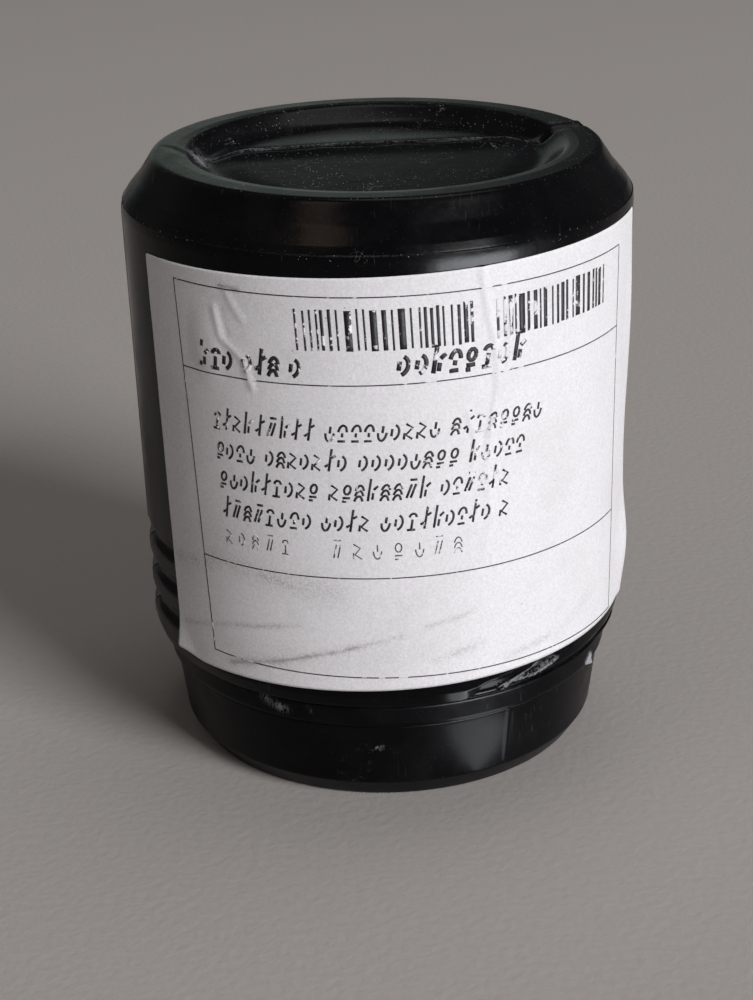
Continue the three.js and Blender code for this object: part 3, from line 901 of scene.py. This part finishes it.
def label():
    """The paper, wrapped round the cover, with creases and a lifted lower left corner."""
    columns, rows = 270, 165
    u, v = np.meshgrid(np.linspace(-1, 1, columns), np.linspace(0, 1, rows), indexing="ij")
    ragged = 0.03 * np.sin(v * 37) * np.sin(v * 11 + 1)
    s = u * LABEL["width"] / 2 + ragged * np.abs(u) ** 20
    t = v * LABEL["height"]
    corner = 0.3
    inset_s = np.maximum(0, np.abs(s) - (LABEL["width"] / 2 - corner))
    drop = corner - np.sqrt(np.maximum(0, corner**2 - np.minimum(inset_s, corner) ** 2))
    middle = LABEL["height"] / 2
    t = middle + (t - middle) * (1 - drop / middle)
    t = t + 0.7 * smooth(1 - (s + 35) / 5) * smooth(1 - t / 6)
    front = label_point(s, t).reshape(-1, 3)
    back = label_point(s, t, -LABEL["thickness"]).reshape(-1, 3)
    vertices = np.concatenate([front, back])
    mesh_object(
        "paper_label", vertices, sheet_faces(columns, rows), PAPER, "cover", "label",
        marks=label_marks(vertices),
    )


# The printed frame's corners on the label, from its lower left, as (s, t). All print follows them.
PRINT_CORNERS = ((-28.0, 2.4), (29.1, 1.1), (-29.3, 47.2), (29.1, 46.2))


def print_place(p, q):
    """The (s, t) of a place in the printed frame, where p and q run from 0 to 1."""
    q = q + 0.08 * p * (q - 0.2) * (1 - q)
    low_left, low_right, top_left, top_right = (np.array(corner) for corner in PRINT_CORNERS)
    p, q = np.asarray(p)[..., None], np.asarray(q)[..., None]
    return (low_left * (1 - p) + low_right * p) * (1 - q) + (top_left * (1 - p) + top_right * p) * q


FRAME_WIDTH = 58.0
FRAME_HEIGHT = 44.4


def label_print(x, y, lift):
    """A point of the print, for a place in millimetres from the printed frame's lower left corner."""
    place = print_place(x / FRAME_WIDTH, y / FRAME_HEIGHT)
    return label_point(place[..., 0], place[..., 1], lift)


class Marks:
    """Collects flat marks on a surface, each a slightly raised closed patch that follows it."""

    def __init__(self, surface):
        self.surface = surface
        self.vertices = []
        self.faces = []

    def patch(self, x, y):
        """A patch from a grid of places. The first index runs right and the second up."""
        self.faces.extend(sheet_faces(*x.shape, len(self.vertices)))
        for lift in (0.022, 0.004):
            self.vertices.extend(self.surface(x, y, lift).reshape(-1, 3))

    def bar(self, x, y, width, height):
        """A bar from its lower left corner, in steps short enough to follow the surface."""
        across, up = (np.linspace(0, size, max(2, math.ceil(size / 0.8) + 1)) for size in (width, height))
        u, v = np.meshgrid(across, up, indexing="ij")
        self.patch(x + u, y + v)

    def stroke(self, x, y, points, weight):
        """A line of even weight through points given from (x, y)."""
        along = np.gradient(points, axis=0)
        along /= np.linalg.norm(along, axis=1, keepdims=True)
        left = np.stack((-along[:, 1], along[:, 0]), axis=1) * weight / 2
        sides = np.stack((points + left, points - left))
        self.patch(x + sides[..., 0], y + sides[..., 1])

    def piece(self, name, coat, body, marks=None):
        mesh_object(name, self.vertices, self.faces, coat, body, marks=marks)

    def print_piece(self, name, coat):
        self.piece(name, coat, "cover", {"worn": strongest(*unrolled(self.vertices), WORN)})


def printed_lines():
    """The frame and the two rules that part it into three rows."""
    lines = Marks(label_print)
    width = 0.13
    for q in (0.0, 0.271, 0.777, 1.0):
        lines.bar(0, q * FRAME_HEIGHT, FRAME_WIDTH, width)
    for p in (0.0, 1.0):
        lines.bar(p * FRAME_WIDTH, 0, width, FRAME_HEIGHT)
    lines.print_piece("printed_frame", PRINT)


def printed_stripes():
    """Stripes of random width that encode nothing."""
    rng = random.Random(4)
    stripes = Marks(label_print)
    at, end = 15.8, 54.8
    foot, tall = 38.5, 4.6
    fold_start, fold_end = 35.1, 37.4
    while at < end:
        width = rng.choice((0.22, 0.22, 0.34, 0.5, 0.75))
        # the print breaks where the paper is folded
        if not fold_start < at < fold_end:
            stripes.bar(at, foot + rng.uniform(-0.08, 0.08), width, tall + rng.uniform(-0.1, 0.1))
        at += width + rng.choice((0.26, 0.32, 0.5, 0.7))
    stripes.print_piece("printed_stripes", PRINT)


def oval(middle_x, middle_y, wide, tall, start, end, steps=10):
    """Part of an oval, from one angle to another."""
    turn = np.radians(np.linspace(start, end, steps + 1))
    return np.stack((middle_x + wide * np.cos(turn), middle_y + tall * np.sin(turn)), axis=1)


def straight(*points):
    return np.array(points, dtype=float)


# Made-up signs, each of two or three strokes in a box as tall as a capital. They belong to no alphabet.
SIGNS = (
    (
        oval(0.24, 0.40, 0.18, 0.32, 5, 175),
        straight((0.08, 0.02), (0.40, 0.02)),
        straight((0.24, 0.2), (0.24, 0.38)),
    ),
    (
        straight((0.24, 0.0), (0.24, 1.0)),
        straight((0.28, 0.60), (0.44, 0.70)),
        straight((0.04, 0.20), (0.20, 0.30)),
    ),
    tuple(oval(0.24, middle, 0.19, 0.40, 25, 155) for middle in (0.30, 0.06, -0.18)),
    (
        oval(0.24, 0.50, 0.14, 0.20, 0, 360),
        straight((0.08, 0.14), (0.40, 0.14)),
        straight((0.08, -0.02), (0.26, -0.02)),
    ),
    (
        straight((0.06, 0.70), (0.36, 0.52), (0.12, 0.22), (0.42, 0.02)),
        straight((0.06, 0.30), (0.06, 0.02)),
    ),
    (
        straight((0.06, 0.06), (0.20, 0.66)),
        straight((0.24, 0.06), (0.38, 0.66)),
        straight((0.10, 0.86), (0.40, 0.86)),
    ),
    (oval(0.24, 0.40, 0.18, 0.38, 185, 355), straight((0.24, 0.36), (0.24, 0.66))),
    (
        straight((0.06, 0.0), (0.42, 0.0)),
        straight((0.24, 0.04), (0.24, 0.46)),
        oval(0.24, 0.56, 0.15, 0.16, 0, 180),
    ),
    (
        straight((0.10, 0.0), (0.10, 1.0)),
        straight((0.28, 0.06), (0.28, 0.36)),
        straight((0.28, 0.50), (0.44, 0.66)),
    ),
    (oval(0.10, 0.36, 0.28, 0.34, -70, 70), straight((0.08, 0.20), (0.08, 0.52))),
)


def sign_row(marks, rng, start, end, y, size, weight, slant, advance, words):
    """A row of made-up signs in word-sized groups, with its foot at y. It says nothing."""
    at = start
    while at < end:
        for _ in range(rng.choice(words)):
            if at >= end:
                break
            for points in rng.choice(SIGNS):
                leaning = (points + np.outer(points[:, 1], (slant, 0))) * size
                marks.stroke(at, y, leaning, weight)
            at += advance * rng.uniform(0.95, 1.05)
        at += advance * 0.6


def printed_text():
    """Rows with their start, end, foot, size, weight, slant, advance and the lengths of their words."""
    rng = random.Random(11)
    bold = Marks(label_print)
    sign_row(bold, rng, 3.0, 15.4, 35.3, 3.0, 0.44, 0.2, 1.6, (4, 3))
    sign_row(bold, rng, 26.2, 41.4, 35.5, 3.2, 0.50, 0.2, 1.9, (8,))
    for end, y in ((43.2, 28.2), (40.0, 24.75), (39.4, 21.3), (38.0, 17.7)):
        sign_row(bold, rng, 3.9, end, y, 2.6, 0.27, 0.22, 1.45, (8, 6, 9, 4, 7))
    thin = Marks(label_print)
    sign_row(thin, rng, 4.0, 14.1, 14.5, 2.3, 0.15, 0.1, 1.9, (5,))
    sign_row(thin, rng, 17.7, 32.8, 14.4, 2.6, 0.15, 0.05, 2.3, (7,))
    bold.print_piece("printed_text", PRINT)
    thin.print_piece("printed_thin_text", FAINT_PRINT)


# ---- Foam ---------------------------------------------------------------------------------------


def foam_shape(radius, height, angle):
    """A cut foam surface that isn't quite true."""
    wobble = 0.10 * np.sin(angle * 3 + 0.5) * np.sin(radius * 0.5) + 0.06 * np.sin(angle * 7 + height)
    side = 0.10 * np.sin(angle * 5 + height * 1.3)
    return radius - 0.12 + side, height - 0.08 + 0.6 * wobble * (radius > 1)


def foam_pads():
    """The block that the plug tube stands in, and the disc that closes on the eyecup."""
    seat = EYEPIECE_Z - 0.15
    low, high = height_span("lower_pad")
    outline = [
        (0, low + 0.2), (23.0, low + 0.2, 0.5), (23.9, low + 1.6, 0.6), (23.9, high, 0.5),
        (15.7, high, 0.7), (15.6, seat, 0.2), (0, seat),
    ]
    cut = {"spacing": lambda r, z: 0.9, "shape": foam_shape}
    lower = turned("lower_foam", outline, FOAM, "base", "lower_pad", **cut)
    low, high = height_span("upper_pad")
    outline = [(0, low + 0.35), (27, low + 0.25, 0.7), (27, 65.6, 0.8), (24.5, high, 0.8), (0, high)]
    upper = turned("upper_foam", outline, FOAM, "cover_pad", "upper_pad", **cut)


# ---- The eyepiece, with heights from the end of its plug tube -----------------------------------


def eyepiece_part(name, outline, coat, body, node, **options):
    turned(name, outline, coat, body, node, lift=EYEPIECE_Z, **options)


def plug_tube():
    outline = [
        (13.6, 0, 0.15), (14.5, 0, 0.3), (15, 0.6, 0.3), (15, 19.4, 0.05), (14.85, 19.5, 0.05),
        (14.85, 19.9, 0.05), (15, 20.0, 0.05), (15, 24, 0.1), (14.2, 24, 0.05), (14.2, 27.6, 0.1),
        (12.2, 27.6, 0.1), (12.2, 13.5, 0.1), (13.2, 13.5, 0.05), (13.2, 0.4, 0.2),
    ]
    eyepiece_part("plug_tube_shell", outline, CHROME, "base", "plug_tube")


def field_stop():
    outline = [
        (12.9, 11.7, 0.1), (12.9, 13.4, 0.1), (11.6, 13.4, 0.1), (10.5, 12.4), (10.5, 12.2),
        (11.6, 11.7, 0.1),
    ]
    eyepiece_part("field_stop_disc", outline, BLACKED, "base", "field_stop")


KNURLS = 60


def ring_shape(radius, height, angle):
    """Straight flutes with rounded crests round the grip."""
    grip = window(height - EYEPIECE_Z, 31.9, 0.5, 40.7, 0.5)
    crest = 0.5 + 0.5 * np.cos(angle * KNURLS)
    flute = 0.62 * (1 - np.sqrt(np.clip(crest, 0, 1)))
    return radius - np.where(radius > 22.3, flute * grip, 0), height


def dioptre_ring():
    outline = [
        (19.6, 27.8, 0.15), (21.3, 27.8, 0.2), (22.0, 28.5, 0.3), (22.0, 31.6, 0.1), (22.6, 32.1, 0.25),
        (22.6, 40.6, 0.25), (22.0, 41.1, 0.1), (21.6, 41.7, 0.3), (20.6, 41.7, 0.15), (20.6, 39.2, 0.1),
        (19.6, 39.2, 0.1),
    ]
    eyepiece_part(
        "dioptre_ring_grip", outline, ANODISED, "turning_ring", "dioptre_ring",
        segments=KNURLS * 10, spacing=lambda r, z: 0.5 if r > 21.9 else 3.0, shape=ring_shape, steps=4,
    )


SCALE_RADIUS = 22.0
INDEX_RADIUS = 20.5
DEGREES_PER_DIOPTRE = 18


def dioptre_scale():
    """Filled marks under the grip, one for each dioptre, and the index that they're read against."""

    def around(radius):
        """A surface for marks: a round wall, with x along its front and y up from the plug tube."""

        def surface(x, y, lift):
            angle = math.radians(-90) + x / radius
            out = radius + lift
            return np.stack((out * np.cos(angle), out * np.sin(angle), EYEPIECE_Z + y), axis=-1)

        return surface

    scale = Marks(around(SCALE_RADIUS))
    dioptre_arc = math.radians(DEGREES_PER_DIOPTRE) * SCALE_RADIUS
    for dioptre in range(-4, 5):
        width, tall = (0.22, 0.7) if dioptre % 2 else (0.3, 1.1)
        scale.bar(dioptre * dioptre_arc - width / 2, 28.75, width, tall)
    scale.stroke(0, 30.7, oval(0, 0, 0.36, 0.55, 0, 360, 20), 0.2)
    minus, plus = -2 * dioptre_arc, 2 * dioptre_arc
    for x in (minus, plus):
        scale.bar(x - 0.55, 30.6, 1.1, 0.2)
    for y in (30.82, 30.15):
        scale.bar(plus - 0.1, y, 0.2, 0.43)
    scale.piece("dioptre_scale", WHITE, "turning_ring")
    index = Marks(around(INDEX_RADIUS))
    index.bar(-0.2, 25.0, 0.4, 1.5)
    index.piece("dioptre_index", WHITE, "base")


def eyecup_carrier():
    outline = [
        (19.7, 39.5, 0.1), (20.4, 39.5, 0.1), (20.4, 42, 0.1), (21.6, 42, 0.25), (21.6, 43.9, 0.4),
        (19.4, 44.5, 0.2), (19.4, 48.9, 0.2), (20, 49.3, 0.2), (20, 50.3, 0.2), (19.4, 50.7, 0.2),
        (16.3, 50.7, 0.35), (16.3, 44.1, 0.2), (19.7, 43.7, 0.2),
    ]
    name = "eyecup_carrier_ring"
    eyepiece_part(name, outline, ANODISED, "turning_ring", "eyecup_carrier")


def eyecup():
    outline = [
        (19.6, 44.9, 0.2), (21.5, 44.9, 0.6), (22.5, 46.5, 0.8), (22.1, 47.8, 0.4), (22.4, 48.6, 0.4),
        (22.0, 49.6, 0.4), (22.3, 50.5, 0.4), (22.0, 51.6, 0.6), (22.6, 53.7, 2.0), (23.5, 55.8, 0.4),
        (23.1, 56.5, 0.3), (22.4, 56.4, 0.3), (21.2, 54.4, 2.0), (20.6, 51.4, 0.5), (20.3, 50.9, 0.1),
        (20.3, 49, 0.1), (19.6, 48.5, 0.1),
    ]
    eyepiece_part("eyecup_rubber", outline, RUBBER, "turning_ring", "eyecup", steps=6)


def notched_ring(name, inner, outer, low, high, notch_floor, body, node, notch_radii=None):
    """A retaining ring with two spanner notches in its upper face."""
    notch_in, notch_out = notch_radii or (inner - 1, outer + 1)

    def shape(radius, height, angle):
        across = np.abs(np.sin(angle)) * radius
        in_notch = (across < 0.8) & (radius > notch_in) & (radius < notch_out)
        upper_face = height > EYEPIECE_Z + high - 0.15
        return radius, np.where(in_notch & upper_face, EYEPIECE_Z + notch_floor, height)

    outline = [(inner, low, 0.1), (outer, low, 0.1), (outer, high, 0.1), (inner, high, 0.1)]
    eyepiece_part(
        name, outline, BLACKED, body, node,
        segments=360, spacing=lambda r, z: 0.4, shape=shape, steps=3,
    )


def lens_cell():
    outline = [
        (13, 31.5, 0.1), (14.8, 31.5, 0.2), (15.2, 31.9, 0.2), (15.2, 49, 0.3), (14.6, 52.9, 0.4),
        (14.1, 53.5, 0.3), (12.2, 53.5, 0.2), (11.5, 52.8, 0.1), (11.5, 46.7, 0.1), (10.7, 46.7, 0.05),
        (10.7, 46.1, 0.05), (13, 46.1, 0.1),
    ]
    eyepiece_part(
        "lens_cell_tube", outline, BLACKED, "cell", "lens_cell", spacing=lambda r, z: 1.2
    )


def lens_line(curvature, z, start, end):
    """Points along a spherical surface of that radius of curvature. A positive one bulges up."""
    radii = np.linspace(start, end, 25)
    sag = math.copysign(1, curvature) * (abs(curvature) - np.sqrt(curvature**2 - radii**2))
    return [(float(r), float(z - s)) for r, s in zip(radii, sag)]


def lens(name, radius, lower, upper, node):
    """A lens with its surfaces given as (curvature, centre height)."""
    bevel = 0.12
    below = lens_line(*lower, 0, radius - bevel)
    above = lens_line(*upper, radius - bevel, 0)
    edge = [(radius, below[-1][1] + bevel), (radius, above[0][1] - bevel)]
    eyepiece_part(name, below + edge + above, GLASS, "cell", node, segments=128)


FIELD_RADIUS = 12.8
EYE_RADIUS = 11.3


def lenses():
    lens("field_flint", FIELD_RADIUS, (80, 33.9), (-30, 35.1), "field_lens_flint")
    lens("field_crown", FIELD_RADIUS, (-30, 35.2), (36, 41.2), "field_lens_crown")
    lens("middle_glass", FIELD_RADIUS, (-50, 41.5), (50, 45.8), "middle_lens")
    lens("eye_crown", EYE_RADIUS, (-90, 46.2), (26, 50.4), "eye_lens_crown")
    lens("eye_flint", EYE_RADIUS, (26, 50.5), (-120, 51.5), "eye_lens_flint")


def plain_rings():
    """Spacers and the washer."""
    for name, inner, outer, low, high, coat, body, node in (
        ("lower_spacer_ring", 11.9, 12.8, 39.3, 42.8, BLACKED, "cell", "lower_spacer"),
        ("upper_spacer_ring", 11.9, 12.8, 44.5, 46.0, BLACKED, "cell", "upper_spacer"),
        ("nylon_washer", 17.5, 20.0, 27.2, 27.7, NYLON, "base", "friction_washer"),
    ):
        corners = [(inner, low, 0.08), (outer, low, 0.08), (outer, high, 0.08), (inner, high, 0.08)]
        eyepiece_part(name, corners, coat, body, node)


def retaining_rings():
    notched_ring("field_lens_ring", 11.6, 12.8, 31.6, 32.7, 32.1, "cell", "field_lens_retaining_ring")
    notched_ring("eye_lens_ring", 10.1, 11.3, 52.2, 53.2, 52.8, "cell", "eye_lens_retaining_ring")
    notched_ring("field_stop_ring", 11.3, 12.9, 9.4, 11.6, 10.4, "base", "field_stop_lock_ring")
    notched_ring("sleeve_ring", 16.6, 19.3, 41.2, 43.3, 42.2, "base", "sleeve_retaining_ring", (18, 20))


def repainted_nodes():
    """CAD nodes whose own shape is right keep it and get their finish here."""
    steel_nodes = ("set_screw_1", "set_screw_2", "set_screw_3", "guide_pin_1", "guide_pin_2")
    coats = {"drive_sleeve": BLACKED, "eyepiece_body": ANODISED, **dict.fromkeys(steel_nodes, STEEL)}
    for name, (material, _) in coats.items():
        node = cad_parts[name]
        node.data.materials.clear()
        node.data.materials.append(material)


# ---- Stage, light and camera --------------------------------------------------------------------


def floor():
    """A plain pale sheet, wide enough to fill every view."""
    mesh = bpy.data.meshes.new("floor")
    reach = 6.0
    corners = [(x * reach, y * reach, 0) for x, y in ((-1, -1), (1, -1), (1, 1), (-1, 1))]
    mesh.from_pydata(corners, [], [(0, 1, 2, 3)])
    finish = Finish("floor_finish", Specular_IOR_Level=0.0)
    grain = finish.noise(900, 3)
    finish.colour(finish.mix(grain, (0.365, 0.340, 0.320), (0.400, 0.373, 0.352)))
    finish.roughness(finish.between(grain, 0.3, 0.7, 0.85, 0.95))
    finish.bump(grain, 0.00008)
    mesh.materials.append(finish.material)
    made = bpy.data.objects.new("floor", mesh)
    bpy.context.scene.collection.objects.link(made)


def area_light(name, place, target, size, power, colour, diffuse):
    data = bpy.data.lights.new(name, "AREA")
    data.shape = "RECTANGLE"
    data.size, data.size_y = size
    data.energy = power
    data.color = colour
    made = bpy.data.objects.new(name, data)
    made.location = place
    made.rotation_euler = (Vector(target) - Vector(place)).to_track_quat("-Z", "Y").to_euler()
    made.visible_camera = False
    made.visible_diffuse = diffuse
    bpy.context.scene.collection.objects.link(made)


def surroundings():
    """A pale wall low down on the far left, in a room that is dim in front and darker behind."""
    world = bpy.data.worlds.new("studio")
    world.use_nodes = True
    sky = Nodes(world.node_tree)
    direction = sky.node("TexCoord").outputs["Generated"]
    toward = sky.node("SeparateXYZ", Vector=direction).outputs
    low = sky.between(toward["Z"], 0.33, 0.25)
    left = sky.between(toward["X"], 0.13, -0.03)
    opposite = sky.between(toward["Y"], 0.82, 0.95)
    behind = sky.between(toward["Y"], 0.45, 0.85)
    wall = sky.mix(sky.product(opposite, sky.product(low, left)), (0.040, 0.040, 0.042), (0.28, 0.33, 0.30))
    room = sky.mix(behind, (0.155, 0.146, 0.141), wall)
    sky.link(room, sky.tree.nodes["Background"].inputs["Color"])
    sky.tree.nodes["Background"].inputs["Strength"].default_value = 1.0
    bpy.context.scene.world = world


def lights():
    """A window on the right and a faint light overhead. The lamp and the cards only make highlights."""
    middle = (0, 0, 0.04)
    by_the_foot = (0.0175, -0.0300)
    white, warm, pale = (1.0, 1.0, 1.0), (1.0, 0.70, 0.53), (0.93, 0.96, 1.0)
    for name, place, target, size, power, colour, diffuse in (
        ("window", (2.97, -3.18, 2.08), middle, (1.8, 2.7), 266.0, (0.975, 0.98, 1.0), True),
        ("overhead", (0.15, 0.25, 1.1), middle, (0.6, 0.5), 1.5, white, True),
        ("far_lamp", (-0.293, -0.375, 0.775), middle, (0.22, 0.26), 0.40, warm, False),
        ("high_card", (0.104, -0.127, 0.03), (0, 0, 0.05), (0.095, 0.06), 0.47, pale, False),
        ("low_card", (*by_the_foot, 0.0005), (*by_the_foot, 1.0), (0.011, 0.010), 0.0019, pale, False),
    ):
        area_light(name, place, target, size, power, colour, diffuse)
    bpy.context.scene.view_settings.view_transform = "Standard"


def camera():
    """Looks down at the front, and leans a little to one side."""
    data = bpy.data.cameras.new("camera")
    data.sensor_width = 36
    data.lens = 72.35
    made = bpy.data.objects.new("camera", data)
    yaw, pitch, roll = math.radians(-0.242), math.radians(22.878), math.radians(-1.403)
    ahead = Vector((math.sin(yaw) * math.cos(pitch), math.cos(yaw) * math.cos(pitch), -math.sin(pitch)))
    level_right = ahead.cross(Vector((0, 0, 1))).normalized()
    level_up = level_right.cross(ahead)
    right = level_right * math.cos(roll) + level_up * math.sin(roll)
    up = level_up * math.cos(roll) - level_right * math.sin(roll)
    turn = Matrix((right, up, -ahead)).transposed()
    made.matrix_world = Matrix.Translation((0, -0.23187, 0.12567)) @ turn.to_4x4()
    bpy.context.scene.collection.objects.link(made)
    bpy.context.scene.camera = made


canister_cover()
canister_base()
label()
printed_lines()
printed_stripes()
printed_text()
foam_pads()
plug_tube()
field_stop()
dioptre_ring()
dioptre_scale()
eyecup_carrier()
eyecup()
lens_cell()
lenses()
plain_rings()
retaining_rings()
repainted_nodes()
floor()
surroundings()
lights()
camera()
